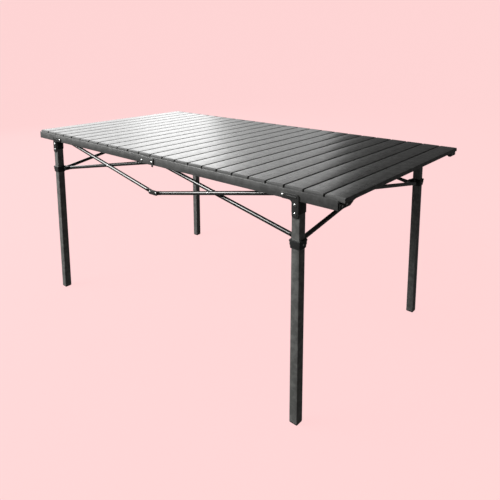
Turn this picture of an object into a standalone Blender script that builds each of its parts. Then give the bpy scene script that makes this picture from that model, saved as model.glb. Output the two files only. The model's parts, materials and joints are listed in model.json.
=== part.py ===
"""Folding table with a roll-up slatted top on a scissor-braced frame.

Frame: origin on the floor under the middle of the top, X along the table,
Y across it (the near side is -Y), Z up, metres.

Each corner is modelled once, in its own coordinates:
  u  distance from the leg's axis towards the table's middle, along X
  v  distance in from the table's outer face, along Y
  z  height above the floor
The corner names are near_left, near_right, far_left and far_right.
"""
import math

import bmesh
import bpy
from mathutils import Matrix, Vector

# ---------------------------------------------------------------- driving dimensions
TABLE_LENGTH = 1.400
TABLE_WIDTH = 0.750
TABLE_HEIGHT = 0.630

SLAT_COUNT = 24
SLAT_GAP = 0.005
SLAT_THICK = 0.011
SLAT_WALL = 0.0011
SLAT_EDGE = 0.0008
SLAT_END_GAP = 0.011          # outer face of the rail to the end of a slat
SLAT_PROUD = 0.004            # top of the slats above the top of the rails

RAIL_HEIGHT = 0.025
RAIL_DEPTH = 0.016
RAIL_WALL = 0.0022
RAIL_SETBACK = 0.012          # the rail stops this far short of the top's end
RAIL_BREAK = 0.027            # opening between the two halves of a rail

LEG_SIZE = 0.025
LEG_WALL = 0.0013
LEG_INSET = 0.128             # end of the top to the leg's axis
FOOT_PLUG = 0.012             # solid plug in the foot of the tube
HEAD_HEIGHT = 0.032
HEAD_PROUD = 0.0015
TAB_GAP = 0.0008              # between the rail and the head's tab behind it

PIVOT_DROP = 0.021            # top of the table down to the rails' pivots
RAIL_PIVOT_INSET = 0.038      # leg axis to the rail's pivot
LINK_HALF = 0.0245            # half the distance between the middle link's pins
LINK_SETBACK = 0.0022         # top of the rail down to the top of the middle link

BRACKET_THICK = 0.0025
BRACKET_ARM = 0.016           # height of the arm along the rail
BRACKET_WIDE = 0.021          # width of the arm down the leg
BRACKET_DROP = 0.052          # rail pivot down to the lower end of the bracket
GUSSET = 0.018                # legs of the triangle in the bracket's corner
LEG_RIVETS = (0.019, 0.041)   # rail pivot down to the rivets in the leg

BRACE_DIAMETER = 0.012
BRACE_WALL = 0.001
BRACE_DROP = 0.120            # brace pivot on the leg down to the collar, table open
BRACE_PIVOT_OUT = 0.022       # leg axis to the long brace's pivot
CROSSING_SHARE = 0.56         # share of a long brace between the leg and the crossing
LUG_CLEARANCE = 0.001         # under the slats, above the lugs on the leg
CENTRE_HALF = 0.015           # half the distance between a centre link's pins
TONGUE_THICK = 0.003
TONGUE_WIDTH = 0.013
TONGUE_REACH = 0.012          # pivot to the start of the round tube
TONGUE_LENGTH = 0.0204        # pivot to the end of the tongue inside the tube
SHORT_PIVOT_IN = 0.0095       # inner face of the leg to the short brace's pivot
SHORT_PLANE = 0.007           # leg axis to the plane of a short brace

COLLAR_WALL = 0.003
COLLAR_HEIGHT = 0.021
COLLAR_TAPER = 0.0015
LUG_RADIUS = 0.0075
LUG_THICK = 0.0052

PIN_DIAMETER = 0.006
RIVET_HEAD = 0.010
RIVET_DOME = 0.0015
DOME_SHRINK = 0.6             # a dome's far face against its near face

REST_GAP = 0.0003             # pieces that rest on each other
SIDE_GAP = 0.0005             # pieces that lie side by side and slide
HOLE_GAP = 0.0003             # round a pin
PLANE_GAP = 0.002             # between the rail and the outer braces

# ---------------------------------------------------------------- worked-out places
SLAT_PITCH = (TABLE_LENGTH + SLAT_GAP) / SLAT_COUNT
SLAT_WIDTH = SLAT_PITCH - SLAT_GAP
LEG_X = TABLE_LENGTH / 2 - LEG_INSET
OUTER_Y = TABLE_WIDTH / 2
LEG_HALF = LEG_SIZE / 2
RAIL_TOP = TABLE_HEIGHT - SLAT_PROUD
RAIL_BOTTOM = RAIL_TOP - RAIL_HEIGHT
LEG_TOP = RAIL_BOTTOM - REST_GAP
RAIL_PIVOT_Z = TABLE_HEIGHT - PIVOT_DROP
BRACE_Z = TABLE_HEIGHT - SLAT_THICK - LUG_RADIUS - LUG_CLEARANCE
COLLAR_Z = BRACE_Z - BRACE_DROP
BRACE_SPAN = LEG_X - BRACE_PIVOT_OUT - CENTRE_HALF
CROSSING_OUT = CROSSING_SHARE * BRACE_SPAN
CROSSING_Z = (BRACE_Z + COLLAR_Z) / 2
CENTRE_LOWER_Z = BRACE_Z - BRACE_DROP / 2 / CROSSING_SHARE
CENTRE_UPPER_Z = COLLAR_Z + BRACE_DROP / 2 / CROSSING_SHARE

BRACE_RADIUS = BRACE_DIAMETER / 2
OUTER_PLANE = RAIL_DEPTH + PLANE_GAP + BRACE_RADIUS
INNER_PLANE = OUTER_PLANE + BRACE_DIAMETER + 2 * PLANE_GAP
SHORT_PIVOT = LEG_SIZE + SHORT_PIVOT_IN

SIDES = 12                    # facets of a round rod
END_STEPS = 8                 # facets of a round plate end
SHARP_ANGLE = math.radians(35)
MERGE = 5e-5                  # points nearer than this are one point
FLAT_ANGLE = 1e-4

ALUMINIUM = ((0.105, 0.105, 0.103, 1), 0.42, 0.9)
PAINT = ((0.030, 0.030, 0.029, 1), 0.35, 0.4)
PLASTIC = ((0.022, 0.022, 0.023, 1), 0.50, 0.0)
STEEL = ((0.180, 0.180, 0.178, 1), 0.30, 1.0)

CORNERS = {
    "near_left": (-1, -1),
    "near_right": (1, -1),
    "far_left": (-1, 1),
    "far_right": (1, 1),
}


# ---------------------------------------------------------------- modelling helpers
def clear_scene():
    for obj in list(bpy.data.objects):
        bpy.data.objects.remove(obj)


def material(name, look):
    colour, roughness, metallic = look
    mat = bpy.data.materials.get(name) or bpy.data.materials.new(name)
    mat.use_nodes = True
    bsdf = mat.node_tree.nodes["Principled BSDF"]
    bsdf.inputs["Base Color"].default_value = colour
    bsdf.inputs["Roughness"].default_value = roughness
    bsdf.inputs["Metallic"].default_value = metallic
    return mat


def new_object(name, bm, mat=None):
    mesh = bpy.data.meshes.new(name)
    bmesh.ops.recalc_face_normals(bm, faces=bm.faces[:])
    bm.to_mesh(mesh)
    bm.free()
    obj = bpy.data.objects.new(name, mesh)
    bpy.context.collection.objects.link(obj)
    if mat:
        mesh.materials.append(mat)
        mesh.shade_smooth()
        mesh.set_sharp_from_angle(angle=SHARP_ANGLE)
    return obj


def box(low, high):
    """A closed box between two corners."""
    bm = bmesh.new()
    bmesh.ops.create_cube(bm, size=1.0)
    for vert in bm.verts:
        for axis in range(3):
            vert.co[axis] = high[axis] if vert.co[axis] > 0 else low[axis]
    return bm


def prism(outline, axis, start, end):
    """An outline in the plane across an axis (0 X, 1 Y), extruded from start to end."""
    def point(a, b, along):
        return Vector((along, a, b)) if axis == 0 else Vector((a, along, b))
    bm = bmesh.new()
    first = [bm.verts.new(point(a, b, start)) for a, b in outline]
    face = bm.faces.new(first)
    grown = bmesh.ops.extrude_face_region(bm, geom=[face])
    moved = [v for v in grown["geom"] if isinstance(v, bmesh.types.BMVert)]
    bmesh.ops.translate(bm, verts=moved, vec=point(0, 0, end - start))
    return bm


def rod(start, end, radius, sides=SIDES):
    """A closed cylinder between two points."""
    start, end = Vector(start), Vector(end)
    along = end - start
    bm = bmesh.new()
    bmesh.ops.create_cone(bm, cap_ends=True, segments=sides, radius1=radius,
                          radius2=radius, depth=along.length)
    turn = Vector((0, 0, 1)).rotation_difference(along.normalized()).to_matrix().to_4x4()
    bmesh.ops.transform(bm, verts=bm.verts, matrix=Matrix.Translation((start + end) / 2) @ turn)
    return bm


def dome(start, end, radius):
    """A rivet's head: a short rod whose far face is smaller."""
    bm = rod(start, end, radius)
    end = Vector(end)
    outward = (end - Vector(start)).normalized()
    for vert in bm.verts:
        if (vert.co - end).dot(outward) > -MERGE:
            vert.co = end + (vert.co - end) * DOME_SHRINK
    return bm


def stadium(a, b, radius):
    """Outline of a plate with round ends about the points a and b."""
    a, b = Vector(a), Vector(b)
    heading = math.atan2(b.y - a.y, b.x - a.x)
    points = []
    for centre, first in ((b, heading - math.pi / 2), (a, heading + math.pi / 2)):
        for step in range(END_STEPS + 1):
            angle = first + math.pi * step / END_STEPS
            points.append((centre.x + radius * math.cos(angle),
                           centre.y + radius * math.sin(angle)))
    return points


def combine(base, others, operation):
    """Joins or cuts a mesh object with closed bodies, one at a time."""
    for bm in others:
        tool = new_object(base.name + "_tool", bm)
        mod = base.modifiers.new("step", "BOOLEAN")
        mod.operation = operation
        mod.solver = "EXACT"
        mod.object = tool
        bpy.context.view_layer.update()
        graph = bpy.context.evaluated_depsgraph_get()
        mesh = bpy.data.meshes.new_from_object(base.evaluated_get(graph))
        base.modifiers.clear()
        base.data = mesh
        bpy.data.objects.remove(tool)


def finish(obj, mat, origin):
    """Merges stray points, sets the finish, and puts the origin on the joint's axis."""
    bm = bmesh.new()
    bm.from_mesh(obj.data)
    bmesh.ops.remove_doubles(bm, verts=bm.verts, dist=MERGE)
    bmesh.ops.dissolve_limit(bm, angle_limit=FLAT_ANGLE, verts=bm.verts, edges=bm.edges)
    bmesh.ops.triangulate(bm, faces=bm.faces[:])
    bmesh.ops.recalc_face_normals(bm, faces=bm.faces[:])
    bmesh.ops.translate(bm, verts=bm.verts, vec=-Vector(origin))
    bm.to_mesh(obj.data)
    bm.free()
    obj.data.materials.clear()
    obj.data.materials.append(mat)
    obj.data.shade_smooth()
    obj.data.set_sharp_from_angle(angle=SHARP_ANGLE)
    obj.location = origin


def build(name, base, joined, cut, mat, origin):
    """One solid: a base body, the bodies joined to it, then the bodies cut away."""
    obj = new_object(name, base)
    combine(obj, joined, "UNION")
    combine(obj, cut, "DIFFERENCE")
    finish(obj, mat, origin)
    return obj


# ---------------------------------------------------------------- corner coordinates
class Corner:
    """Places points given as (u, v, z) at one corner of the table."""

    def __init__(self, name):
        self.name = name
        self.side_x, self.side_y = CORNERS[name]

    def x(self, u):
        return self.side_x * (LEG_X - u)

    def y(self, v):
        return self.side_y * (OUTER_Y - v)

    def at(self, u, v, z):
        return Vector((self.x(u), self.y(v), z))

    def box(self, low, high):
        a, b = self.at(*low), self.at(*high)
        return box([min(p) for p in zip(a, b)], [max(p) for p in zip(a, b)])

    def plate_long(self, outline, v_from, v_to):
        """A plate parallel to the long side, its outline given in (u, z)."""
        points = [(self.x(u), z) for u, z in outline]
        return prism(points, 1, self.y(v_from), self.y(v_to))

    def plate_short(self, outline, u_from, u_to):
        """A plate parallel to the short side, its outline given in (v, z)."""
        points = [(self.y(v), z) for v, z in outline]
        return prism(points, 0, self.x(u_from), self.x(u_to))

    def rod(self, start, end, radius, sides=SIDES):
        return rod(self.at(*start), self.at(*end), radius, sides)

    def dome(self, start, end, radius):
        return dome(self.at(*start), self.at(*end), radius)


# ---------------------------------------------------------------- slats
def slat_centre(index):
    return -TABLE_LENGTH / 2 + SLAT_WIDTH / 2 + index * SLAT_PITCH


def make_slat(index, mat):
    """A hollow extruded slat, open at both ends, with broken top edges."""
    middle = slat_centre(index)
    left, right = middle - SLAT_WIDTH / 2, middle + SLAT_WIDTH / 2
    top, under = TABLE_HEIGHT, TABLE_HEIGHT - SLAT_THICK
    edge, wall = SLAT_EDGE, SLAT_WALL
    outline = [(left, under), (right, under), (right, top - edge), (right - edge, top),
               (left + edge, top), (left, top - edge)]
    hollow = [(left + wall, under + wall), (right - wall, under + wall),
              (right - wall, top - edge - wall), (right - edge - wall, top - wall),
              (left + edge + wall, top - wall), (left + wall, top - edge - wall)]
    reach = OUTER_Y - SLAT_END_GAP
    origin = (left - SLAT_GAP / 2, 0, top) if index else (middle, 0, top)
    build(f"slat_{index + 1:02d}", prism(outline, 1, -reach, reach), [],
          [prism(hollow, 1, -reach - wall, reach + wall)], mat, origin)


# ---------------------------------------------------------------- rails and their links
def make_rail(corner, mat):
    """Half of a long rail: an outer web, a ledge for the slats and a lower flange."""
    u_end = RAIL_SETBACK - LEG_INSET
    u_mid = LEG_X - RAIL_BREAK / 2
    ledge = TABLE_HEIGHT - SLAT_THICK - REST_GAP
    wall = RAIL_WALL
    section = [(0, RAIL_TOP), (wall, RAIL_TOP), (wall, ledge), (RAIL_DEPTH, ledge),
               (RAIL_DEPTH, ledge - wall), (wall, ledge - wall), (wall, RAIL_BOTTOM + wall),
               (RAIL_DEPTH, RAIL_BOTTOM + wall), (RAIL_DEPTH, RAIL_BOTTOM), (0, RAIL_BOTTOM)]
    hole = PIN_DIAMETER / 2 + HOLE_GAP
    holes = [corner.rod((u, -wall, RAIL_PIVOT_Z), (u, 2 * wall, RAIL_PIVOT_Z), hole)
             for u in (RAIL_PIVOT_INSET, LEG_X - LINK_HALF)]
    hinge = RAIL_PIVOT_INSET if corner.side_x < 0 else LEG_X - LINK_HALF
    build(f"rail_{corner.name}", corner.plate_short(section, u_end, u_mid), [], holes,
          mat, corner.at(hinge, 0, RAIL_PIVOT_Z))


def pivot_pin(corner, u, z, depth):
    """A headed pin through an outer plate, reaching depth in from the outer face."""
    back = -REST_GAP - BRACKET_THICK
    return [corner.rod((u, back + BRACKET_THICK / 2, z), (u, depth, z), PIN_DIAMETER / 2),
            corner.dome((u, back + BRACKET_THICK / 2, z), (u, back - RIVET_DOME, z),
                        RIVET_HEAD / 2)]


def make_bracket(corner, mat):
    """An L-shaped plate: riveted to the leg, with the rail's pivot on its other arm."""
    half, wide = BRACKET_ARM / 2, BRACKET_WIDE / 2
    back = -REST_GAP - BRACKET_THICK
    across = stadium((0, RAIL_PIVOT_Z), (RAIL_PIVOT_INSET, RAIL_PIVOT_Z), half)
    down = stadium((0, RAIL_PIVOT_Z + half - wide), (0, RAIL_PIVOT_Z - BRACKET_DROP + wide), wide)
    gusset = [(half, RAIL_PIVOT_Z), (half + GUSSET, RAIL_PIVOT_Z),
              (half, RAIL_PIVOT_Z - GUSSET)]
    joined = [corner.plate_long(down, back, -REST_GAP),
              corner.plate_long(gusset, back, -REST_GAP)]
    joined += pivot_pin(corner, RAIL_PIVOT_INSET, RAIL_PIVOT_Z, 2 * RAIL_WALL)
    for drop in LEG_RIVETS:
        joined.append(corner.dome((0, back + BRACKET_THICK / 2, RAIL_PIVOT_Z - drop),
                                  (0, back - RIVET_DOME, RAIL_PIVOT_Z - drop), RIVET_HEAD / 2))
    build(f"bracket_{corner.name}", corner.plate_long(across, back, -REST_GAP), joined, [],
          mat, corner.at(0, 0, RAIL_PIVOT_Z))


def make_middle_link(corner, side, mat):
    """The plate that hinges the two halves of a rail together."""
    back = -REST_GAP - BRACKET_THICK
    ends = (LEG_X - LINK_HALF, LEG_X + LINK_HALF)
    low, high = ends[0] - BRACKET_ARM / 2, ends[1] + BRACKET_ARM / 2
    top = RAIL_TOP - LINK_SETBACK
    outline = [(low, RAIL_BOTTOM), (high, RAIL_BOTTOM), (high, top), (low, top)]
    pins = [body for u in ends for body in pivot_pin(corner, u, RAIL_PIVOT_Z, 2 * RAIL_WALL)]
    build(f"rail_middle_link_{side}", corner.plate_long(outline, back, -REST_GAP), pins, [],
          mat, corner.at(ends[0], 0, RAIL_PIVOT_Z))


# ---------------------------------------------------------------- legs and collars
def lug_outline(near, pivot, z):
    """A lug with a round end about a pivot, running back to a wall: (along, z) points."""
    points = [(near, z - LUG_RADIUS)]
    for step in range(END_STEPS + 1):
        angle = -math.pi / 2 + math.pi * step / END_STEPS
        points.append((pivot + LUG_RADIUS * math.cos(angle), z + LUG_RADIUS * math.sin(angle)))
    points.append((near, z + LUG_RADIUS))
    return points


def short_stud(corner, plane, z):
    """Lug and pin for a short brace on the leg's inner face, in the brace's plane."""
    sign = 1 if plane > 0 else -1
    face = plane - sign * (TONGUE_THICK / 2 + REST_GAP)
    back = face - sign * LUG_THICK
    tip = plane + sign * (TONGUE_THICK / 2 + RIVET_DOME)
    lug = corner.plate_short(lug_outline(LEG_SIZE - LEG_WALL, SHORT_PIVOT, z), back, face)
    pin = corner.rod((back + sign * RIVET_DOME, SHORT_PIVOT, z), (tip, SHORT_PIVOT, z),
                     PIN_DIAMETER / 2)
    return lug, pin


def short_plane(corner):
    """The short brace hung from a near leg lies outboard, the one from a far leg inboard."""
    return SHORT_PLANE * corner.side_y


def leg_hinge(corner):
    """A point on the axis of the joint that carries the leg."""
    if corner.side_x > 0:
        return corner.at(RAIL_PIVOT_INSET, 0, RAIL_PIVOT_Z)
    if corner.side_y > 0:
        return corner.at(short_plane(corner), SHORT_PIVOT, BRACE_Z)
    return corner.at(0, LEG_HALF, 0)


def make_leg(corner, mat):
    """Square tube with its foot plug, a head with a tab behind the rail, and brace lugs."""
    tube = corner.box((-LEG_HALF, 0, 0), (LEG_HALF, LEG_SIZE, LEG_TOP))
    wide = LEG_HALF + HEAD_PROUD
    head_low = LEG_TOP - HEAD_HEIGHT
    head = corner.box((-wide, 0, head_low), (wide, LEG_SIZE + HEAD_PROUD, LEG_TOP))
    inside = LEG_HALF - LEG_WALL
    bore = corner.box((-inside, LEG_WALL, FOOT_PLUG),
                      (inside, LEG_SIZE - LEG_WALL, LEG_TOP + LEG_WALL))
    tab = corner.box((-LEG_HALF, RAIL_DEPTH + TAB_GAP, head_low + LEG_WALL),
                     (LEG_HALF, LEG_SIZE, BRACE_Z + LUG_RADIUS - REST_GAP))
    lug_face = OUTER_PLANE - TONGUE_THICK / 2 - REST_GAP
    lug = corner.plate_long(lug_outline(LEG_HALF - LEG_WALL, BRACE_PIVOT_OUT, BRACE_Z),
                            lug_face - LUG_THICK, lug_face)
    tip = OUTER_PLANE + TONGUE_THICK / 2 + RIVET_DOME
    pin = corner.rod((BRACE_PIVOT_OUT, lug_face - RIVET_DOME, BRACE_Z),
                     (BRACE_PIVOT_OUT, tip, BRACE_Z), PIN_DIAMETER / 2)
    stud_lug, stud_pin = short_stud(corner, short_plane(corner), BRACE_Z)
    carried = [tab, lug, pin, stud_lug]
    if corner.side_y < 0 or corner.side_x < 0:
        carried.append(stud_pin)
    obj = new_object(f"leg_{corner.name}", tube)
    combine(obj, [head], "UNION")
    combine(obj, [bore], "DIFFERENCE")
    combine(obj, carried, "UNION")
    finish(obj, mat, leg_hinge(corner))


def make_collar(corner, mat):
    """Collar that slides on the leg, with lugs for one long and one short brace."""
    low, high = COLLAR_Z - COLLAR_HEIGHT / 2, COLLAR_Z + COLLAR_HEIGHT / 2
    wide = LEG_HALF + COLLAR_WALL
    body = corner.box((-wide, -COLLAR_WALL, low), (wide, LEG_SIZE + COLLAR_WALL, high))
    lowest = min(v.co.z for v in body.verts)
    centre = corner.at(0, LEG_HALF, low)
    shrink = (wide - COLLAR_TAPER) / wide
    for vert in body.verts:
        if vert.co.z - lowest < MERGE:
            vert.co.x = centre.x + (vert.co.x - centre.x) * shrink
            vert.co.y = centre.y + (vert.co.y - centre.y) * shrink
    lug_face = INNER_PLANE - TONGUE_THICK / 2 - REST_GAP
    lug = corner.plate_long(lug_outline(LEG_HALF + COLLAR_WALL / 2, BRACE_PIVOT_OUT, COLLAR_Z),
                            LEG_SIZE - LUG_THICK, lug_face)
    tip = INNER_PLANE + TONGUE_THICK / 2 + RIVET_DOME
    pin = corner.rod((BRACE_PIVOT_OUT, lug_face - RIVET_DOME, COLLAR_Z),
                     (BRACE_PIVOT_OUT, tip, COLLAR_Z), PIN_DIAMETER / 2)
    plane = -short_plane(corner)
    sign = 1 if plane > 0 else -1
    face = plane - sign * (TONGUE_THICK / 2 + REST_GAP)
    side_lug = corner.plate_short(lug_outline(LEG_SIZE + COLLAR_WALL / 2, SHORT_PIVOT, COLLAR_Z),
                                  face - sign * LUG_THICK, face)
    slide = LEG_HALF + SIDE_GAP
    bore = corner.box((-slide, -SIDE_GAP, low - COLLAR_WALL),
                      (slide, LEG_SIZE + SIDE_GAP, high + COLLAR_WALL))
    build(f"collar_{corner.name}", body, [lug, pin, side_lug], [bore], mat,
          corner.at(BRACE_PIVOT_OUT, INNER_PLANE, COLLAR_Z))


# ---------------------------------------------------------------- braces
def brace(name, start, end, across, crossing, pin_reach, mat, origin):
    """A round tube between two pivots, with a flat tongue and a hole at each end.

    across is the direction of the pivots' axes. At the crossing the tube has a pin
    between the two offsets in pin_reach, or a hole for that pin if pin_reach is None.
    """
    start, end, across = Vector(start), Vector(end), Vector(across)
    along = (end - start).normalized()
    first, last = start + along * TONGUE_REACH, end - along * TONGUE_REACH
    tube = rod(first, last, BRACE_RADIUS)
    tube_bore = rod(first - along * BRACE_WALL, last + along * BRACE_WALL,
                    BRACE_RADIUS - BRACE_WALL)
    obj = new_object(name, tube)
    combine(obj, [tube_bore], "DIFFERENCE")
    joined, cut = [], []
    turn = Matrix((along, across, along.cross(across))).transposed().to_4x4()
    for pivot, heading in ((start, 1), (end, -1)):
        outline = stadium((0, 0), (TONGUE_LENGTH * heading, 0), TONGUE_WIDTH / 2)
        tongue = prism(outline, 1, -TONGUE_THICK / 2, TONGUE_THICK / 2)
        bmesh.ops.transform(tongue, verts=tongue.verts, matrix=Matrix.Translation(pivot) @ turn)
        joined.append(tongue)
        cut.append(rod(pivot - across * TONGUE_THICK, pivot + across * TONGUE_THICK,
                       PIN_DIAMETER / 2 + HOLE_GAP))
    if pin_reach:
        joined.append(rod(crossing + across * pin_reach[0], crossing + across * pin_reach[1],
                          PIN_DIAMETER / 2))
    else:
        cut.append(rod(crossing - across * BRACE_DIAMETER, crossing + across * BRACE_DIAMETER,
                       PIN_DIAMETER / 2 + HOLE_GAP))
    combine(obj, joined, "UNION")
    combine(obj, cut, "DIFFERENCE")
    finish(obj, mat, origin)


def make_long_braces(corner, mat):
    """The two crossed braces between a leg and the middle of the long side."""
    u_centre = LEG_X - CENTRE_HALF
    u_cross = BRACE_PIVOT_OUT + CROSSING_OUT
    inward = Vector((0, -corner.side_y, 0))
    high = corner.at(BRACE_PIVOT_OUT, OUTER_PLANE, BRACE_Z)
    low = corner.at(u_centre, OUTER_PLANE, CENTRE_LOWER_Z)
    crossing = corner.at(u_cross, OUTER_PLANE, CROSSING_Z)
    reach = INNER_PLANE - OUTER_PLANE + BRACE_RADIUS + RIVET_DOME
    brace(f"long_brace_outer_{corner.name}", high, low, inward, crossing,
          (-BRACE_RADIUS - RIVET_DOME, reach), mat, high)
    low = corner.at(BRACE_PIVOT_OUT, INNER_PLANE, COLLAR_Z)
    high = corner.at(u_centre, INNER_PLANE, CENTRE_UPPER_Z)
    crossing = corner.at(u_cross, INNER_PLANE, CROSSING_Z)
    brace(f"long_brace_inner_{corner.name}", low, high, inward, crossing, None, mat, crossing)


def make_short_braces(side, mat):
    """The crossed pair between the near and the far leg at one end of the table."""
    near, far = Corner(f"near_{side}"), Corner(f"far_{side}")
    inboard = Vector((-near.side_x, 0, 0))
    reach = 2 * SHORT_PLANE + BRACE_RADIUS + RIVET_DOME
    start = near.at(-SHORT_PLANE, SHORT_PIVOT, BRACE_Z)
    end = far.at(-SHORT_PLANE, SHORT_PIVOT, COLLAR_Z)
    brace(f"short_brace_falling_{side}", start, end, inboard, (start + end) / 2,
          (-BRACE_RADIUS - RIVET_DOME, reach), mat, start)
    start = near.at(SHORT_PLANE, SHORT_PIVOT, COLLAR_Z)
    end = far.at(SHORT_PLANE, SHORT_PIVOT, BRACE_Z)
    crossing = (start + end) / 2
    brace(f"short_brace_rising_{side}", start, end, inboard, crossing, None, mat, crossing)


def make_centre_links(corner, side, mat):
    """The lower and upper links that join the left and right braces at the middle."""
    ends = (LEG_X - CENTRE_HALF, LEG_X + CENTRE_HALF)
    faces = {
        "lower": (CENTRE_LOWER_Z, OUTER_PLANE, -1),
        "upper": (CENTRE_UPPER_Z, INNER_PLANE, 1),
    }
    for name, (z, plane, sign) in faces.items():
        face = plane + sign * (TONGUE_THICK / 2 + REST_GAP)
        back = face + sign * LUG_THICK
        outline = stadium((ends[0], z), (ends[1], z), LUG_RADIUS)
        tip = plane - sign * (TONGUE_THICK / 2 + RIVET_DOME)
        pin = corner.rod((ends[0], back - sign * RIVET_DOME, z), (ends[0], tip, z),
                         PIN_DIAMETER / 2)
        hole = corner.rod((ends[1], face - sign * RIVET_DOME, z),
                          (ends[1], back + sign * RIVET_DOME, z), PIN_DIAMETER / 2 + HOLE_GAP)
        build(f"brace_{name}_link_{side}", corner.plate_long(outline, back, face), [pin],
              [hole], mat, corner.at(ends[0], plane, z))


def main():
    clear_scene()
    aluminium = material("slat_aluminium", ALUMINIUM)
    paint = material("frame_paint", PAINT)
    plastic = material("black_plastic", PLASTIC)
    steel = material("dark_steel", STEEL)
    for index in range(SLAT_COUNT):
        make_slat(index, aluminium)
    for name in CORNERS:
        corner = Corner(name)
        make_rail(corner, aluminium)
        make_bracket(corner, paint)
        make_leg(corner, paint)
        make_collar(corner, plastic)
        make_long_braces(corner, steel)
    for side in ("left", "right"):
        make_short_braces(side, steel)
    for side in ("near", "far"):
        corner = Corner(f"{side}_left")
        make_middle_link(corner, side, paint)
        make_centre_links(corner, side, plastic)


main()
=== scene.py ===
"""Looks of the folding table: every CAD node is stood for by a finer piece on the same body.

Each corner is described in its own coordinates, as in the CAD:
  u  distance from the leg's axis towards the table's middle, along X
  v  distance in from the table's outer face, along Y
  z  height above the floor
"""
import json
import math

import bmesh
import bpy
from mathutils import Matrix, Vector


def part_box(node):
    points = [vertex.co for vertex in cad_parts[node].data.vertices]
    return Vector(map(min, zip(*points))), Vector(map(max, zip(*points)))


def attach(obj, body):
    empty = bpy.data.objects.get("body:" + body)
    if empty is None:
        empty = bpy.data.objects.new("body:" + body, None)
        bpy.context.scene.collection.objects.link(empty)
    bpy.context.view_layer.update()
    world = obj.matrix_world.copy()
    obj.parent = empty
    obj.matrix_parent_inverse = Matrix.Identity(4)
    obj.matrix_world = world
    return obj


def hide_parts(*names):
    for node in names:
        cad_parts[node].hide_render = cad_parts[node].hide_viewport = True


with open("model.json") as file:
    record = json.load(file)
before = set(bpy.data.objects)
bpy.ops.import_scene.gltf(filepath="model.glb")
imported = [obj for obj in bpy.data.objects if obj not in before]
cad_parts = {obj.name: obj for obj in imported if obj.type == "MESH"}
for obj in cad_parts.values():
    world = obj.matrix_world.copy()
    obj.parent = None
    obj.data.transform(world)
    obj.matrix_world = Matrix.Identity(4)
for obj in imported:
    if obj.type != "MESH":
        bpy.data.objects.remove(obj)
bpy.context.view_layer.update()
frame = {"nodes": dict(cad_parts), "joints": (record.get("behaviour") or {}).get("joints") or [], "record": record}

RECORD = frame["record"]
BODY = {node: body for body, nodes in RECORD["behaviour"]["bodies"].items() for node in nodes}
PIN = {j["name"]: Vector(j["pos_m"]) for j in frame["joints"] if "pos_m" in j}
MOUNT = {m["name"]: Vector(m["pos_m"]) for m in RECORD["mounts"]}

CORNERS = ("near_left", "near_right", "far_left", "far_right")
SLATS = sorted(n for n in frame["nodes"] if n.startswith("slat_"))


# ---------------------------------------------------------------- materials
class Look:
    """Builds one procedural material on top of a Principled BSDF."""

    def __init__(self, name, colour, roughness, metallic=0.0, coat=0.0, specular=0.5):
        self.mat = bpy.data.materials.new(name)
        self.mat.use_nodes = True
        self.tree = self.mat.node_tree
        self.bsdf = self.tree.nodes["Principled BSDF"]
        self.colour = colour
        self.roughness = roughness
        self.bsdf.inputs["Base Color"].default_value = (*colour, 1)
        self.bsdf.inputs["Roughness"].default_value = roughness
        self.bsdf.inputs["Metallic"].default_value = metallic
        self.bsdf.inputs["Coat Weight"].default_value = coat
        self.bsdf.inputs["Coat Roughness"].default_value = 0.12
        self.bsdf.inputs["Specular IOR Level"].default_value = specular
        self.height = None

    def node(self, kind, **values):
        made = self.tree.nodes.new(kind)
        for key, value in values.items():
            if key in made.inputs:
                made.inputs[key].default_value = value
            else:
                setattr(made, key, value)
        return made

    def link(self, out, into):
        self.tree.links.new(out, into)

    def noise(self, stretch, detail=3.0, rough=0.6):
        """A noise value in the object's own metres, scaled by stretch along X, Y and Z."""
        place = self.node("ShaderNodeTexCoord")
        mapping = self.node("ShaderNodeMapping", Scale=stretch)
        self.link(place.outputs["Object"], mapping.inputs["Vector"])
        noise = self.node("ShaderNodeTexNoise", Scale=1.0, Detail=detail, Roughness=rough)
        self.link(mapping.outputs["Vector"], noise.inputs["Vector"])
        return noise.outputs["Fac"]

    def ramp(self, value, low, high, dark, light):
        """Maps a 0-1 value from low..high to dark..light."""
        made = self.node("ShaderNodeMapRange")
        made.clamp = True
        for key, number in (("From Min", low), ("From Max", high),
                            ("To Min", dark), ("To Max", light)):
            made.inputs[key].default_value = number
        self.link(value, made.inputs["Value"])
        return made.outputs["Result"]

    def tint(self, value, other):
        """Mixes the base colour towards another by a value."""
        mix = self.node("ShaderNodeMix", data_type="RGBA")
        mix.inputs[6].default_value = (*self.colour, 1)
        mix.inputs[7].default_value = (*other, 1)
        before = self.bsdf.inputs["Base Color"].links
        if before:
            self.link(before[0].from_socket, mix.inputs[6])
        self.link(value, mix.inputs[0])
        self.link(mix.outputs[2], self.bsdf.inputs["Base Color"])

    def gloss(self, value, spread):
        """Varies the roughness by a value, spread either side of its own."""
        varied = self.ramp(value, 0.3, 0.7, self.roughness - spread, self.roughness + spread)
        self.link(varied, self.bsdf.inputs["Roughness"])

    def bump(self, value, metres, strength=1.0):
        made = self.node("ShaderNodeBump", Strength=strength, Distance=metres)
        self.link(value, made.inputs["Height"])
        if self.height is not None:
            self.link(self.height, made.inputs["Normal"])
        self.height = made.outputs["Normal"]
        self.link(self.height, self.bsdf.inputs["Normal"])

    def worn_edges(self, other, amount=0.5):
        """Lightens edges a little, in patches."""
        point = self.node("ShaderNodeNewGeometry").outputs["Pointiness"]
        edge = self.ramp(point, 0.52, 0.60, 0.0, amount)
        patch = self.ramp(self.noise((60, 60, 60), 2.0), 0.42, 0.62, 0.15, 1.0)
        both = self.node("ShaderNodeMath", operation="MULTIPLY")
        self.link(edge, both.inputs[0])
        self.link(patch, both.inputs[1])
        self.tint(both.outputs[0], other)


def lighter(colour, by):
    return tuple(min(1.0, c * by) for c in colour)


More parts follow.
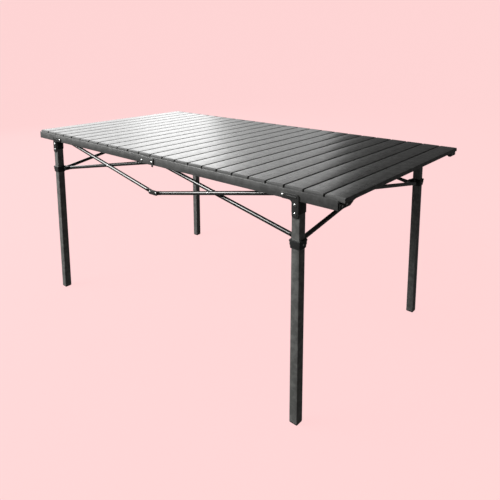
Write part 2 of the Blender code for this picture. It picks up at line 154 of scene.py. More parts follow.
def brushed(name, colour, roughness, metallic, along, grain=420.0):
    """Anodised aluminium with a fine grain along one axis."""
    look = Look(name, colour, roughness, metallic)
    stretch = [grain, grain, grain]
    stretch["xyz".index(along)] = 7.0
    fine = look.noise(tuple(stretch), 4.0, 0.7)
    broad = look.noise((3.0, 2.2, 3.0), 2.0, 0.5)
    speck = look.noise((900, 900, 900), 2.0, 0.6)
    look.tint(look.ramp(fine, 0.35, 0.7, 0.0, 0.35), lighter(colour, 1.35))
    look.tint(look.ramp(broad, 0.4, 0.65, 0.0, 0.25), lighter(colour, 0.82))
    look.gloss(fine, 0.05)
    look.bump(speck, 0.00002, 0.5)
    look.bump(fine, 0.00003, 0.6)
    look.worn_edges(lighter(colour, 2.2))
    return look.mat


def coated(name, colour, roughness, metallic=0.0, coat=0.0, orange_peel=0.00003):
    """Baked coating over metal: orange peel, faint mottling, paler at the edges."""
    look = Look(name, colour, roughness, metallic, coat)
    peel = look.noise((520, 520, 520), 2.0, 0.5)
    broad = look.noise((14, 14, 9), 3.0, 0.6)
    look.tint(look.ramp(broad, 0.38, 0.66, 0.0, 0.4), lighter(colour, 1.3))
    look.gloss(broad, 0.04)
    look.bump(peel, orange_peel, 0.5)
    look.worn_edges(lighter(colour, 2.6), 0.45)
    return look.mat


def moulded(name, colour, roughness):
    """Moulded plastic with a fine spark-eroded grain."""
    look = Look(name, colour, roughness)
    grain = look.noise((1500, 1500, 1500), 2.0, 0.6)
    broad = look.noise((25, 25, 25), 2.0, 0.5)
    look.tint(look.ramp(broad, 0.35, 0.7, 0.0, 0.5), lighter(colour, 1.35))
    look.gloss(grain, 0.06)
    look.bump(grain, 0.00005, 0.6)
    look.worn_edges(lighter(colour, 2.5), 0.35)
    return look.mat


def bright_metal(name, colour, roughness):
    """Zinc-plated rivet steel with small marks."""
    look = Look(name, colour, roughness, 1.0)
    marks = look.noise((1100, 1100, 1100), 3.0, 0.6)
    look.tint(look.ramp(marks, 0.45, 0.7, 0.0, 0.5), lighter(colour, 0.7))
    look.gloss(marks, 0.06)
    look.bump(marks, 0.00002, 0.5)
    return look.mat


def braided(name, colour, roughness):
    """Braided elastic cord: fine diagonal cells along X."""
    look = Look(name, colour, roughness)
    cells = look.noise((1600, 2400, 2400), 1.0, 0.4)
    broad = look.noise((40, 40, 40), 2.0, 0.5)
    look.tint(look.ramp(cells, 0.4, 0.6, 0.0, 0.6), lighter(colour, 2.2))
    look.gloss(broad, 0.05)
    look.bump(cells, 0.0002, 0.8)
    return look.mat


SLAT_LOOK = brushed("slat_finish", (0.135, 0.135, 0.132), 0.30, 0.75, "y")
CAP_LOOK = moulded("end_cap_plastic", (0.115, 0.115, 0.112), 0.42)
RAIL_LOOK = brushed("rail_finish", (0.150, 0.150, 0.146), 0.40, 0.55, "x")
LEG_LOOK = brushed("leg_finish", (0.200, 0.202, 0.192), 0.40, 0.45, "z")
BRACKET_LOOK = coated("bracket_finish", (0.060, 0.060, 0.058), 0.34, 0.3)
BRACE_LOOK = coated("brace_finish", (0.095, 0.095, 0.091), 0.24, 0.75, 0.6, 0.00001)
LINK_LOOK = moulded("link_plastic", (0.040, 0.040, 0.039), 0.38)
COLLAR_LOOK = moulded("collar_plastic", (0.035, 0.036, 0.035), 0.40)
RIVET_LOOK = bright_metal("rivet_metal", (0.82, 0.82, 0.80), 0.22)
HEAD_LOOK = moulded("head_plastic", (0.030, 0.030, 0.029), 0.36)
CORD_LOOK = braided("link_cord", (0.016, 0.016, 0.016), 0.75)


# ---------------------------------------------------------------- meshes
def piece(name, bm, look, node, smooth=40.0, replaces=True):
    """Turns a bmesh into a piece that rides on a CAD node's body, and may stand for the node."""
    bmesh.ops.recalc_face_normals(bm, faces=bm.faces[:])
    mesh = bpy.data.meshes.new(name)
    bm.to_mesh(mesh)
    bm.free()
    obj = bpy.data.objects.new(name, mesh)
    bpy.context.collection.objects.link(obj)
    mesh.materials.append(look)
    mesh.shade_smooth()
    mesh.set_sharp_from_angle(angle=math.radians(smooth))
    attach(obj, BODY[node])
    if replaces:
        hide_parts(node)
    return obj


def round_edges(bm, width, segments=2, angle=30.0):
    """Rounds every edge sharper than an angle."""
    bm.normal_update()
    limit = math.radians(angle)
    edges = [e for e in bm.edges if len(e.link_faces) == 2 and e.calc_face_angle(0.0) > limit]
    bmesh.ops.bevel(bm, geom=edges, offset=width, segments=segments, profile=0.5,
                    affect="EDGES", clamp_overlap=True)


def prism(outline, place, start, end):
    """An outline of (a, b) points, extruded; place(a, b, along) gives the 3-D point."""
    bm = bmesh.new()
    rings = [[bm.verts.new(place(a, b, along)) for a, b in outline] for along in (start, end)]
    count = len(outline)
    bm.faces.new(rings[0])
    bm.faces.new(list(reversed(rings[1])))
    for i in range(count):
        j = (i + 1) % count
        bm.faces.new((rings[0][i], rings[1][i], rings[1][j], rings[0][j]))
    bmesh.ops.recalc_face_normals(bm, faces=bm.faces[:])
    return bm


def skin(rings, closed=False):
    """Joins equal rings of points into one surface; closed joins the last to the first."""
    bm = bmesh.new()
    rows = [[bm.verts.new(p) for p in ring] for ring in rings]
    count = len(rings[0])
    pairs = list(zip(rows, rows[1:]))
    if closed:
        pairs.append((rows[-1], rows[0]))
    for a, b in pairs:
        for i in range(count):
            j = (i + 1) % count
            bm.faces.new((a[i], a[j], b[j], b[i]))
    if not closed:
        bm.faces.new(rows[0])
        bm.faces.new(list(reversed(rows[-1])))
    return bm


def merge(into, *others):
    """Adds other bmeshes to the first."""
    for other in others:
        mesh = bpy.data.meshes.new("part")
        other.to_mesh(mesh)
        other.free()
        into.from_mesh(mesh)
        bpy.data.meshes.remove(mesh)
    return into


def arc(centre, radius, first, last, steps):
    """Points on an arc, angles in degrees."""
    points = []
    for i in range(steps + 1):
        angle = math.radians(first + (last - first) * i / steps)
        points.append((centre[0] + radius * math.cos(angle),
                       centre[1] + radius * math.sin(angle)))
    return points


def rounded_box_outline(half_a, half_b, radius, steps=4, centre=(0.0, 0.0)):
    """Outline of a rectangle with round corners about a centre."""
    points = []
    for sign_a, sign_b, first in ((1, 1, 0), (-1, 1, 90), (-1, -1, 180), (1, -1, 270)):
        middle = (centre[0] + sign_a * (half_a - radius), centre[1] + sign_b * (half_b - radius))
        points += arc(middle, radius, first, first + 90, steps)
    return points


def stadium(a, b, radius, steps=12):
    """Outline with round ends about two points."""
    heading = math.degrees(math.atan2(b[1] - a[1], b[0] - a[0]))
    return (arc(b, radius, heading - 90, heading + 90, steps)
            + arc(a, radius, heading + 90, heading + 270, steps))


def turned(profile, base, axis, steps=24):
    """A turned solid: (radius, height) points from the axis out, about base along axis."""
    axis = Vector(axis).normalized()
    side = axis.orthogonal().normalized()
    other = axis.cross(side)
    rings = []
    for radius, height in profile:
        ring = []
        for i in range(steps):
            angle = 2 * math.pi * i / steps
            around = side * math.cos(angle) + other * math.sin(angle)
            ring.append(Vector(base) + axis * height + around * radius)
        rings.append(ring)
    return skin(rings)


def rivet_bm(base, axis, radius=0.0046, height=0.0019):
    """A domed rivet head that stands on base and points along axis."""
    profile = [(radius * 0.97, -0.0006), (radius, 0.0)]
    for i in range(1, 7):
        angle = math.pi / 2 * i / 7
        profile.append((radius * math.cos(angle), height * math.sin(angle)))
    profile.append((radius * 0.06, height))
    return turned(profile, base, axis)


def rivet(name, base, axis, node, radius=0.0046, height=0.0019):
    return piece(name, rivet_bm(base, axis, radius, height), RIVET_LOOK, node,
                 smooth=60, replaces=False)


# ---------------------------------------------------------------- the table's own places
PLATE = 0.0025                    # bracket plate
PLATE_GAP = 0.0003                # bracket to the face behind it
TONGUE_HALF = 0.0015
TUBE_RADIUS = 0.006
TONGUE_RADIUS = 0.0065
LUG_THICK = 0.0052
LUG_RADIUS = 0.0075
LUG_EDGE = 0.0006                 # rounding of a lug's edges
PLATE_EDGE = 0.0007               # rounding of a pressed plate's edges

LEG_WALL = 0.0013
FOOT_RIM = 0.004                  # floor to the end of the tube, which the foot covers
FOOT_PLUG = 0.016                 # floor to the top of the foot inside the tube
FOOT_GAP = 0.0002
HEAD_HEIGHT = 0.032
HEAD_PROUD = 0.0015
TAB_GAP = 0.0008                  # rail to the head's tab behind it
TAB_DOWN = 0.012                  # top of the leg down to the tab's lower end
TAB_UP = 0.0072                   # brace pivot up to the tab's upper end
LEG_RIVETS = (0.019, 0.041)       # rail pivot down to the rivets in the leg

COLLAR_GAP = 0.0005
COLLAR_WALL = 0.0036
COLLAR_DOWN = 0.0120              # brace pivot down to the collar's lower end
COLLAR_UP = 0.0105
LIP = 0.0008                      # how far the collar's lip stands out

PIVOT_HEAD = 0.0050               # radii of the rivets' heads
LINK_HEAD = 0.0048
LEG_HEAD = 0.0046
CROSSING_HEAD = 0.0044
BRACE_HEAD = 0.0042
LINK_PIN_HEAD = 0.0040
BACK_HEAD = 0.0038
SCREW_HEAD = 0.0031
SIDE_HEAD = 0.0028
CROSSING_PIN = 0.0028
FLAT_HEAD = 0.0015                # height of a flat rivet's head
SEAT = 0.0002                     # how deep a rivet's head sits in a tube


class Corner:
    def __init__(self, name):
        self.name = name
        foot = MOUNT[f"foot_{name}"]
        self.sx = 1 if foot.x > 0 else -1
        self.sy = 1 if foot.y > 0 else -1
        self.leg_x = abs(foot.x)
        self.outer = abs(PIN["frame_fold"].y)
        self.half = self.outer - abs(foot.y)
        self.side = "near" if self.sy < 0 else "far"
        self.end = "left" if self.sx < 0 else "right"
        self.leg_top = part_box(f"rail_{name}")[0].z - PLATE_GAP
        self.brace_z = PIN[f"long_brace_top_{name}"].z
        self.collar_z = PIN[f"collar_pin_{name}"].z
        self.outward = Vector((0, self.sy, 0))
        self.outboard = Vector((self.sx, 0, 0))

    def at(self, u, v, z):
        return Vector((self.sx * (self.leg_x - u), self.sy * (self.outer - v), z))

    def u(self, x):
        return self.leg_x - self.sx * x

    def v(self, y):
        return self.outer - self.sy * y

    def long_plate(self, outline, v_from, v_to):
        """A plate parallel to the long side; outline in (u, z)."""
        return prism(outline, lambda a, b, along: self.at(a, along, b), v_from, v_to)

    def short_plate(self, outline, u_from, u_to):
        """A plate parallel to the short side; outline in (v, z)."""
        return prism(outline, lambda a, b, along: self.at(along, a, b), u_from, u_to)


# ---------------------------------------------------------------- slats
def slat_outline(left, right, bottom, top):
    """Cross-section of a slat: soft top corners, a shallow channel underneath."""
    soft, hard = 0.0013, 0.0005
    points = arc((right - soft, top - soft), soft, 0, 90, 5)
    points += arc((left + soft, top - soft), soft, 90, 180, 5)
    points += arc((left + hard, bottom + hard), hard, 180, 270, 2)
    inset, deep = 0.012, 0.0016   # channel underneath
    points += [(left + inset, bottom), (left + inset + deep, bottom + deep)]
    points += [(right - inset - deep, bottom + deep), (right - inset, bottom)]
    points += arc((right - hard, bottom + hard), hard, 270, 360, 2)
    return points


CAP_LENGTH = 0.0060
CAP_CHAMFER = 0.0028
CAP_NARROWING = 0.985             # width of a cap's end against the slat
CAP_EDGE = 0.0004


def make_slats():
    for node in SLATS:
        low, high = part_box(node)
        left, right, bottom, top = low.x, high.x, low.z, high.z
        outline = slat_outline(left, right, bottom, top)
        reach = high.y - CAP_LENGTH
        body = prism(outline, lambda a, b, along: Vector((a, along, b)), -reach, reach)
        piece(node + "_panel", body, SLAT_LOOK, node)
        for side, sign in (("near", -1), ("far", 1)):
            face, end = sign * reach, sign * high.y
            rings = []
            for tapered, along in ((False, face), (False, end - sign * CAP_CHAMFER),
                                   (True, end)):
                ring = []
                for a, b in outline:
                    if tapered:
                        middle = (left + right) / 2
                        share = (b - bottom) / (top - bottom)
                        a = middle + (a - middle) * CAP_NARROWING
                        b -= CAP_CHAMFER * share
                    ring.append(Vector((a, along, b)))
                rings.append(ring)
            cap = skin(rings)
            round_edges(cap, CAP_EDGE, 2, 20)
            piece(f"{node}_cap_{side}", cap, CAP_LOOK, node, replaces=False)


CORD_RADIUS = 0.0016
CORD_INSET = 0.046                # end of a slat to the cord
CORD_SHORT = 0.010                # end of the top to the end of the cord
CORD_BELOW = 0.0008               # middle of a slat's height down to the cord
CORD_TIP = 0.0006


def make_cords():
    """Two cords that thread the slats, seen in the gaps, cut off inside the end slats."""
    first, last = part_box(SLATS[0]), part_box(SLATS[-1])
    z = (first[0].z + first[1].z) / 2 - CORD_BELOW
    for side, sign in (("near", -1), ("far", 1)):
        y = sign * (first[1].y - CORD_INSET)
        start, end = first[0].x + CORD_SHORT, last[1].x - CORD_SHORT
        tip, length = CORD_RADIUS * 0.7, end - start
        cord = turned([(tip, 0.0), (CORD_RADIUS, CORD_TIP),
                       (CORD_RADIUS, length - CORD_TIP), (tip, length)],
                      Vector((start, y, z)), (1, 0, 0), 16)
        piece(f"top_cord_{side}", cord, CORD_LOOK, SLATS[0], replaces=False)


# ---------------------------------------------------------------- rails
def make_rail(corner):
    """Half rail: web, ledge for the slats and lower flange, all with soft edges."""
    node = f"rail_{corner.name}"
    low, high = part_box(node)
    depth = high.y - low.y
    bottom, top = low.z, high.z
    wall = 0.0022
    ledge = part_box(SLATS[0])[0].z - PLATE_GAP
    section = [(0, bottom), (depth, bottom), (depth, bottom + wall), (wall, bottom + wall),
               (wall, ledge - wall), (depth, ledge - wall), (depth, ledge), (wall, ledge),
               (wall, top), (0, top)]
    ends = sorted((corner.u(low.x), corner.u(high.x)))
    bm = corner.short_plate(section, *ends)
    round_edges(bm, 0.0006, 2)
    piece(node + "_extrusion", bm, RAIL_LOOK, node)


BLOCK_PROUD = 0.0050              # how far the block stands out of the rail's end
BLOCK_LAP = 0.0014
BLOCK_LONG = 0.046                # rail's inner edge to the block's inner end
BLOCK_IN = 0.0024                 # block's faces in from its neighbours
BLOCK_SLOPE = (0.014, 0.0090)     # sloping underside: how long and how high
BLOCK_WEB = 0.0027                # outer face of the rail to the block
SHELF_LONG = 0.014
BLOCK_SCREWS = (-0.004, 0.016)    # rail's inner edge to the screws


def make_end_block(corner):
    """Black block under the last slat, on the rail's end, held by two screws."""
    node = f"rail_{corner.name}"
    low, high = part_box(node)
    end = min(corner.u(low.x), corner.u(high.x))
    behind = high.y - low.y
    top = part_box(SLATS[0])[0].z - 0.0006
    bottom = low.z + 0.0004
    inner = behind + BLOCK_LONG
    slope, rise = BLOCK_SLOPE
    outline = [(BLOCK_WEB, bottom + BLOCK_IN), (inner - slope, bottom + BLOCK_IN),
               (inner, bottom + rise), (inner, top - BLOCK_IN), (BLOCK_WEB, top - BLOCK_IN)]
    block = corner.short_plate(outline, end - BLOCK_PROUD, end + BLOCK_LAP)
    round_edges(block, 0.0009, 3)
    piece(node + "_end_block", block, HEAD_LOOK, node, replaces=False)
    start, stop = behind + 0.0006, inner - 0.004
    under, over = bottom + rise, top - 0.0030
    shelf = corner.short_plate([(start, under), (stop, under), (stop, over), (start, over)],
                               end + 0.0010, end + SHELF_LONG)
    round_edges(shelf, 0.0009, 2)
    piece(node + "_end_shelf", shelf, HEAD_LOOK, node, replaces=False)
    for index, beyond in enumerate(BLOCK_SCREWS):
        base = corner.at(end - BLOCK_PROUD, behind + beyond, (bottom + top) / 2 + 0.001)
        rivet(f"{node}_end_screw_{index + 1}", base, corner.outboard, node, SCREW_HEAD, 0.0010)


def bracket_outline(arm, wide, reach, drop):
    """L-shaped plate about the corner (0, 0): reach along +a, drop along -b."""
    half, flank = arm / 2, wide / 2
    nook, tip, shoulder = 0.009, 0.0075, 0.006
    points = arc((reach, 0), half, 90, -90, 12)
    points += arc((flank + nook, -half - nook), nook, 90, 180, 6)
    points += arc((flank - tip, -drop + tip), tip, 0, -90, 8)
    points += arc((tip - flank, -drop + tip), tip, 270, 180, 8)
    points += arc((shoulder - flank, half - shoulder), shoulder, 180, 90, 6)
    return points


def make_bracket(corner):
    """Pressed L plate with a raised rib along its arm and domed rivets."""
    name = corner.name
    node = f"bracket_{name}"
    pivot = corner.u(PIN[{"near_left": "frame_fold", "far_left": "rail_fold_far_left"}
                         .get(name, f"rail_pivot_{name}")].x)
    z = PIN["frame_fold"].z
    low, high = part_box(node)
    arm = 2 * (high.z - z)
    wide = 2 * max(-corner.u(low.x), -corner.u(high.x))
    back, front = -PLATE_GAP, -PLATE_GAP - PLATE
    outline = [(a, z + b) for a, b in bracket_outline(arm, wide, pivot, z - low.z)]
    bm = corner.long_plate(outline, back, front)
    round_edges(bm, PLATE_EDGE, 3)
    rib = stadium((-0.002, z + 0.0005), (pivot - 0.013, z + 0.0005), 0.0020)
    raised = corner.long_plate(rib, front + 0.0004, front - 0.0010)
    round_edges(raised, PLATE_EDGE, 3)
    merge(bm, raised)
    piece(node + "_plate", bm, BRACKET_LOOK, node)
    rivet(f"{node}_pivot_rivet", corner.at(pivot, front, z), corner.outward, node, PIVOT_HEAD)
    for index, down in enumerate(LEG_RIVETS):
        rivet(f"{node}_leg_rivet_{index + 1}", corner.at(0, front, z - down),
              corner.outward, node, LEG_HEAD)


def make_middle_link(side):
    """Plate over the gap between the rail's halves, with a small black block at its right end that is painted
    shade: it stands in for the shadow where the plate ends.
    """
    node = f"rail_middle_link_{side}"
    corner = Corner(f"{side}_left")
    z = PIN["frame_fold"].z
    ends = (corner.u(PIN[f"rail_middle_left_pin_{side}"].x),
            corner.u(PIN[f"rail_middle_right_pin_{side}"].x))
    low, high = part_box(node)
    centre = (ends[0] + ends[1]) / 2
    reach = (high.x - low.x) / 2
    under, over = low.z, high.z
    back, front = -PLATE_GAP, -PLATE_GAP - PLATE
    middle = (centre, (over + under) / 2)
    outline = rounded_box_outline(reach, (over - under) / 2, 0.0035, 6, middle)
    bm = corner.long_plate(outline, back, front)
    round_edges(bm, 0.0006, 3)
    piece(node + "_plate", bm, RAIL_LOOK, node)
    # painted shade: a small black block at the plate's lower right end, standing in for the shadow where the plate
    # ends
    wide, tall = 0.0045, 0.0035
    middle = (centre + reach - wide, under - tall / 2 - 0.00005)
    foot = corner.long_plate(rounded_box_outline(wide, tall, 0.0012, 4, middle),
                             front + 0.0004, front - 0.0004)
    round_edges(foot, 0.0004, 2)
    piece(node + "_foot", foot, HEAD_LOOK, node, replaces=False)
    for index, u in enumerate(ends):
        rivet(f"{node}_rivet_{index + 1}", corner.at(u, front, z), corner.outward, node,
              LINK_HEAD)


# ---------------------------------------------------------------- legs and collars
def lug_outline(near, pivot, z):
    """A lug with a round end about its pivot, running back to near."""
    return ([(near, z - LUG_RADIUS)] + arc((pivot, z), LUG_RADIUS, -90, 90, 12)
            + [(near, z + LUG_RADIUS)])


def square_ring(corner, half, radius, z, steps=4):
    """A ring round the leg's axis at one height."""
    outline = rounded_box_outline(half, half, radius, steps)
    return [corner.at(a, corner.half + b, z) for a, b in outline]


def make_leg(corner):
    node = f"leg_{corner.name}"
    half, top = corner.half, corner.leg_top
    hollow = half - LEG_WALL
    tube_top = top - 0.003
    tube = skin([square_ring(corner, half, 0.0022, FOOT_RIM),
                 square_ring(corner, half, 0.0022, tube_top),
                 square_ring(corner, hollow, 0.0012, tube_top),
                 square_ring(corner, hollow, 0.0012, FOOT_RIM)], closed=True)
    piece(node + "_tube", tube, LEG_LOOK, node)
    foot = skin([square_ring(corner, half - 0.0016, 0.0016, 0.0),
                 square_ring(corner, half - 0.0004, 0.0024, 0.0012),
                 square_ring(corner, half, 0.0026, FOOT_RIM - FOOT_GAP),
                 square_ring(corner, hollow, 0.0012, FOOT_RIM - FOOT_GAP),
                 square_ring(corner, hollow, 0.0012, FOOT_PLUG)])
    piece(node + "_foot", foot, COLLAR_LOOK, node, replaces=False)
    outer_face = half - 0.0002
    low = top - HEAD_HEIGHT
    rings = []
    for grow, z in ((0.0003, low), (HEAD_PROUD - 0.0004, low + 0.0006),
                    (HEAD_PROUD, low + 0.0016), (HEAD_PROUD, top - 0.0012),
                    (HEAD_PROUD - 0.0006, top - 0.0003), (HEAD_PROUD - 0.0016, top)):
        outline = rounded_box_outline(half + grow, (outer_face + half + grow) / 2, 0.0022, 4)
        shift = (half + grow - outer_face) / 2
        rings.append([corner.at(a, half + b + shift, z) for a, b in outline])
    piece(node + "_head", skin(rings), HEAD_LOOK, node, replaces=False)
    rail_low, rail_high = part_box(f"rail_{corner.name}")
    behind = rail_high.y - rail_low.y + TAB_GAP
    under, over = top - TAB_DOWN, corner.brace_z + TAB_UP
    tab = corner.long_plate([(-half, under), (half, under), (half, over), (-half, over)],
                            behind, 2 * half)
    round_edges(tab, 0.0010, 3)
    piece(node + "_head_tab", tab, HEAD_LOOK, node, replaces=False)
    make_leg_lugs(corner, node)


def make_leg_lugs(corner, node):
    """Lugs for the long and the short brace, on the leg's inner faces."""
    z = corner.brace_z
    pin = PIN[f"long_brace_top_{corner.name}"]
    u, plane = corner.u(pin.x), corner.v(pin.y)
    face = plane - TONGUE_HALF - PLATE_GAP
    lug = corner.long_plate(lug_outline(corner.half - 0.001, u, z), face - LUG_THICK, face)
    round_edges(lug, LUG_EDGE, 2)
    piece(node + "_long_lug", lug, COLLAR_LOOK, node, replaces=False)
    rivet(node + "_long_rivet", corner.at(u, plane + TONGUE_HALF, z), -corner.outward, node,
          BRACE_HEAD, FLAT_HEAD)
    rivet(node + "_long_rivet_back", corner.at(u, face - LUG_THICK, z), corner.outward, node,
          BACK_HEAD, 0.0012)
    v, plane, sign = short_place(corner, top=True)
    face = plane - sign * (TONGUE_HALF + PLATE_GAP)
    lug = corner.short_plate(lug_outline(2 * corner.half - 0.001, v, z),
                             face - sign * LUG_THICK, face)
    round_edges(lug, LUG_EDGE, 2)
    piece(node + "_short_lug", lug, COLLAR_LOOK, node, replaces=False)
    rivet(node + "_short_rivet", corner.at(plane + sign * TONGUE_HALF, v, z),
          -corner.outboard * sign, node, BRACE_HEAD, FLAT_HEAD)


def short_place(corner, top):
    """(v of the pivot, u of the brace's plane, side of the leg's axis it lies on)."""
    pin = PIN[f"short_brace_top_{corner.end}"]
    near = Corner(f"near_{corner.end}")
    plane = near.u(pin.x)
    if (corner.side == "near") != top:
        plane = -plane
    return near.v(pin.y), plane, 1 if plane > 0 else -1


def make_collar(corner):
    """Sliding collar: rounded, a fine lip at the top, drawn in at the bottom."""
    node = f"collar_{corner.name}"
    z = corner.collar_z
    low, high = z - COLLAR_DOWN, z + COLLAR_UP
    inner = corner.half + COLLAR_GAP
    outer = corner.half + COLLAR_WALL
    body = skin([square_ring(corner, inner, 0.0014, low),
                 square_ring(corner, outer - 0.0021, 0.0018, low),
                 square_ring(corner, outer - 0.0015, 0.0020, low + 0.0006),
                 square_ring(corner, outer - 0.0009, 0.0020, low + 0.0085),
                 square_ring(corner, outer - 0.0001, 0.0022, low + 0.0090),
                 square_ring(corner, outer, 0.0022, high - 0.0048),
                 square_ring(corner, outer + LIP, 0.0022, high - 0.0044),
                 square_ring(corner, outer + LIP, 0.0022, high - 0.0006),
                 square_ring(corner, outer + 0.0002, 0.0020, high),
                 square_ring(corner, inner, 0.0014, high)], closed=True)
    piece(node + "_body", body, COLLAR_LOOK, node)
    pin = PIN[f"collar_pin_{corner.name}"]
    u, plane = corner.u(pin.x), corner.v(pin.y)
    face = plane - TONGUE_HALF - PLATE_GAP
    back = 2 * corner.half - LUG_THICK
    lug = corner.long_plate(lug_outline(corner.half + 0.0015, u, z), back, face)
    round_edges(lug, 0.0007, 2)
    piece(node + "_long_lug", lug, COLLAR_LOOK, node, replaces=False)
    rivet(node + "_long_rivet", corner.at(u, plane + TONGUE_HALF, z), -corner.outward, node,
          BRACE_HEAD, FLAT_HEAD)
    v, plane, sign = short_place(corner, top=False)
    face = plane - sign * (TONGUE_HALF + PLATE_GAP)
    lug = corner.short_plate(lug_outline(2 * corner.half + 0.0015, v, z),
                             face - sign * LUG_THICK, face)
    round_edges(lug, 0.0007, 2)
    piece(node + "_short_lug", lug, COLLAR_LOOK, node, replaces=False)
    rivet(node + "_side_rivet", corner.at(-outer + 0.0002, corner.half, z - 0.001),
          corner.outboard, node, SIDE_HEAD, 0.0009)


# ---------------------------------------------------------------- braces
def flattened_tube(start, end, across, steps=28):
    """A round tube pressed flat to a tongue at each end, with round tips."""
    start, end, across = Vector(start), Vector(end), Vector(across).normalized()
    along = (end - start).normalized()
    side = along.cross(across)
    length = (end - start).length
    flat_end, round_start = 0.0085, 0.0230
    near = [-TONGUE_RADIUS * math.cos(math.radians(a)) for a in (12, 24, 40, 56, 73, 90)]
    near += [0.004, flat_end]
    blend = 8
    near += [flat_end + (round_start - flat_end) * i / blend for i in range(1, blend + 1)]
    stations = near + [length - s for s in reversed(near)]
    rings = []
    for s in stations:
        from_end = min(s, length - s)
        t = min(1.0, max(0.0, (from_end - flat_end) / (round_start - flat_end)))
        t = t * t * (3 - 2 * t)
        thick = TONGUE_HALF + (TUBE_RADIUS - TONGUE_HALF) * t
        wide = TONGUE_RADIUS + (TUBE_RADIUS - TONGUE_RADIUS) * t
        if from_end < 0:
            wide = math.sqrt(max(TONGUE_RADIUS ** 2 - from_end ** 2, 1e-9))
        power = 2 / (6.0 + (2.0 - 6.0) * t)
        ring = []
        for i in range(steps):
            angle = 2 * math.pi * i / steps
            c, q = math.cos(angle), math.sin(angle)
            ring.append(start + along * s
                        + across * (thick * math.copysign(abs(c) ** power, c))
                        + side * (wide * math.copysign(abs(q) ** power, q)))
        rings.append(ring)
    return skin(rings)


def make_brace(node, start, end, across):
    piece(node + "_tube", flattened_tube(start, end, across), BRACE_LOOK, node,
          smooth=50)


def mirrored(point, side_x):
    return Vector((abs(point.x) * side_x, point.y, point.z))


def make_crossing(node, cross, across, apart):
    """The pin and two rivet heads where a pair of tubes crosses, from the first tube's axis."""
    reach = apart + TUBE_RADIUS
    rivet(node + "_rivet", cross - across * (TUBE_RADIUS - SEAT), -across, node, CROSSING_HEAD)
    rivet(node + "_rivet_back", cross + across * (reach - SEAT), across, node, CROSSING_HEAD)
    pin = turned([(CROSSING_PIN, 0.0), (CROSSING_PIN, reach)], cross, across, 16)
    piece(node + "_crossing_pin", pin, RIVET_LOOK, node, replaces=False)


def make_long_braces(corner):
    name = corner.name
    inward = -corner.outward
    high = PIN[f"long_brace_top_{name}"]
    low = mirrored(PIN[f"lower_link_pin_{corner.side}"], corner.sx)
    make_brace(f"long_brace_outer_{name}", high, low, inward)
    start = PIN[f"collar_pin_{name}"]
    end = mirrored(PIN[f"upper_link_pin_{corner.side}"], corner.sx)
    make_brace(f"long_brace_inner_{name}", start, end, inward)
    cross = PIN[f"long_brace_crossing_{name}"]
    node = f"long_brace_outer_{name}"
    make_crossing(node, cross, inward, abs(start.y - high.y))


def make_short_braces(end):
    near, far = Corner(f"near_{end}"), Corner(f"far_{end}")
    for kind in ("falling", "rising"):
        node = f"short_brace_{kind}_{end}"
        falls = kind == "falling"
        v, plane, _ = short_place(near, top=falls)
        start = near.at(plane, v, near.brace_z if falls else near.collar_z)
        finish = far.at(plane, v, near.collar_z if falls else near.brace_z)
        make_brace(node, start, finish, -near.outboard)
        if falls:
            towards_other = near.outboard if plane > 0 else -near.outboard
            make_crossing(node, (start + finish) / 2, towards_other, 2 * abs(plane))


def make_centre_links(side):
    """Moulded links between the left and the right braces, with round edges."""
    corner = Corner(f"{side}_left")
    for kind in ("lower", "upper"):
        node = f"brace_{kind}_link_{side}"
        pin = PIN[f"{kind}_link_pin_{side}"]
        low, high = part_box(node)
        half = (high.z - low.z) / 2
        plane = corner.v(pin.y)
        sign = -1 if kind == "lower" else 1
        face = plane + sign * (TONGUE_HALF + PLATE_GAP)
        back = face + sign * LUG_THICK
        ends = (corner.u(pin.x), corner.u(-pin.x))
        outline = stadium((ends[0], pin.z), (ends[1], pin.z), half, 14)
        bm = corner.long_plate(outline, back, face)
        round_edges(bm, 0.0010, 3)
        piece(node + "_body", bm, LINK_LOOK, node)
        outward = corner.outward * -sign
        for index, u in enumerate(ends):
            rivet(f"{node}_rivet_{index + 1}", corner.at(u, back, pin.z), outward, node,
                  LINK_PIN_HEAD, 0.0016)
            rivet(f"{node}_rivet_back_{index + 1}",
                  corner.at(u, plane - sign * TONGUE_HALF, pin.z), -outward, node,
                  LINK_PIN_HEAD, 0.0014)


# ---------------------------------------------------------------- build
make_slats()
make_cords()
for name in CORNERS:
    corner = Corner(name)
    make_rail(corner)
    make_end_block(corner)
    make_bracket(corner)
    make_leg(corner)
    make_collar(corner)
    make_long_braces(corner)
for end in ("left", "right"):
    make_short_braces(end)
for side in ("near", "far"):
    make_middle_link(side)
    make_centre_links(side)


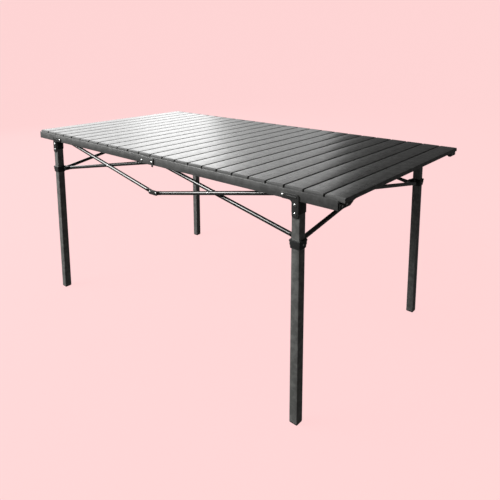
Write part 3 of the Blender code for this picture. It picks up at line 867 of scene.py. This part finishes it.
# ---------------------------------------------------------------- floor and backdrop
def make_floor():
    """A round pale floor that curves up into a backdrop on all sides."""
    profile = [(0.02, 0.0), (3.0, 0.0), (7.0, 0.0)]
    radius, bend = 7.0, 4.0
    for i in range(1, 13):
        angle = math.pi / 2 * i / 12
        profile.append((radius + bend * math.sin(angle), bend * (1 - math.cos(angle))))
    profile.append((radius + bend, 14.0))
    steps = 96
    bm = bmesh.new()
    rows = []
    for r, z in profile:
        rows.append([bm.verts.new((r * math.cos(2 * math.pi * i / steps),
                                   r * math.sin(2 * math.pi * i / steps), z))
                     for i in range(steps)])
    bm.faces.new(rows[0])
    for a, b in zip(rows, rows[1:]):
        for i in range(steps):
            j = (i + 1) % steps
            bm.faces.new((a[i], a[j], b[j], b[i]))
    bmesh.ops.recalc_face_normals(bm, faces=bm.faces[:])
    if bm.faces[0].normal.z < 0:
        bmesh.ops.reverse_faces(bm, faces=bm.faces[:])
    mesh = bpy.data.meshes.new("studio_floor")
    bm.to_mesh(mesh)
    bm.free()
    floor = bpy.data.objects.new("studio_floor", mesh)
    bpy.context.collection.objects.link(floor)
    mesh.shade_smooth()
    mat = bpy.data.materials.new("studio_paper")
    mat.use_nodes = True
    tree = mat.node_tree
    bsdf = tree.nodes["Principled BSDF"]
    bsdf.inputs["Base Color"].default_value = (0.05, 0.034, 0.034, 1)
    bsdf.inputs["Roughness"].default_value = 1.0
    bsdf.inputs["Specular IOR Level"].default_value = 0.0
    bsdf.inputs["Emission Color"].default_value = (1.0, 0.665, 0.665, 1)
    bsdf.inputs["Emission Strength"].default_value = 0.99
    clear = tree.nodes.new("ShaderNodeBsdfTransparent")
    mix = tree.nodes.new("ShaderNodeMixShader")
    under = tree.nodes.new("ShaderNodeNewGeometry")
    tree.links.new(under.outputs["Backfacing"], mix.inputs[0])
    tree.links.new(bsdf.outputs[0], mix.inputs[1])
    tree.links.new(clear.outputs[0], mix.inputs[2])
    tree.links.new(mix.outputs[0], tree.nodes["Material Output"].inputs["Surface"])
    mesh.materials.append(mat)
    floor.visible_diffuse = False
    floor.visible_glossy = False


make_floor()


# ---------------------------------------------------------------- light
def softbox(name, direction, distance, width, height, power, colour=(1, 1, 1), aim=(0, 0, 0.5)):
    """A soft rectangular light, seen only in what it lights."""
    data = bpy.data.lights.new(name, "AREA")
    data.shape = "RECTANGLE"
    data.size, data.size_y = width, height
    data.energy = power
    data.color = colour
    lamp = bpy.data.objects.new(name, data)
    bpy.context.collection.objects.link(lamp)
    lamp.location = Vector(aim) + Vector(direction).normalized() * distance
    lamp.rotation_mode = "QUATERNION"
    lamp.rotation_quaternion = (Vector(aim) - lamp.location).to_track_quat("-Z", "Y")
    lamp.visible_camera = False
    return lamp


def heading(azimuth, elevation):
    """Direction from the table: azimuth 0 is +Y, 90 is -X."""
    a, e = math.radians(azimuth), math.radians(elevation)
    return Vector((-math.sin(a) * math.cos(e), math.cos(a) * math.cos(e), math.sin(e)))


softbox("back_left_panel", heading(79, 24), 4.2, 5.6, 3.2, 116)
softbox("back_panel", heading(42, 24), 4.2, 2.4, 2.6, 16)
softbox("front_left_box", heading(135, 27), 3.6, 1.8, 2.2, 104)
softbox("front_box", heading(155, 32), 4.0, 1.3, 1.4, 58)
softbox("overhead", heading(150, 80), 3.6, 2.0, 2.0, 7)

world = bpy.data.worlds.new("studio")
world.use_nodes = True
world.node_tree.nodes["Background"].inputs["Color"].default_value = (1.0, 0.98, 0.97, 1)
world.node_tree.nodes["Background"].inputs["Strength"].default_value = 0.06
bpy.context.scene.world = world
bpy.context.scene.view_settings.view_transform = "Standard"


# ---------------------------------------------------------------- camera
YAW, PITCH, ROLL = 40.83, 9.01, -0.09
camera_data = bpy.data.cameras.new("camera")
camera_data.lens = 36.06
camera_data.sensor_width = 36.0
camera_data.shift_y = -0.256
camera = bpy.data.objects.new("camera", camera_data)
bpy.context.collection.objects.link(camera)
camera.location = (1.247, -1.324, 0.977)
camera.rotation_mode = "QUATERNION"
camera.rotation_quaternion = (
    Matrix.Rotation(math.radians(YAW), 3, "Z")
    @ Matrix.Rotation(math.radians(90 - PITCH), 3, "X")
    @ Matrix.Rotation(math.radians(ROLL), 3, "Z")
).to_quaternion()
bpy.context.scene.camera = camera
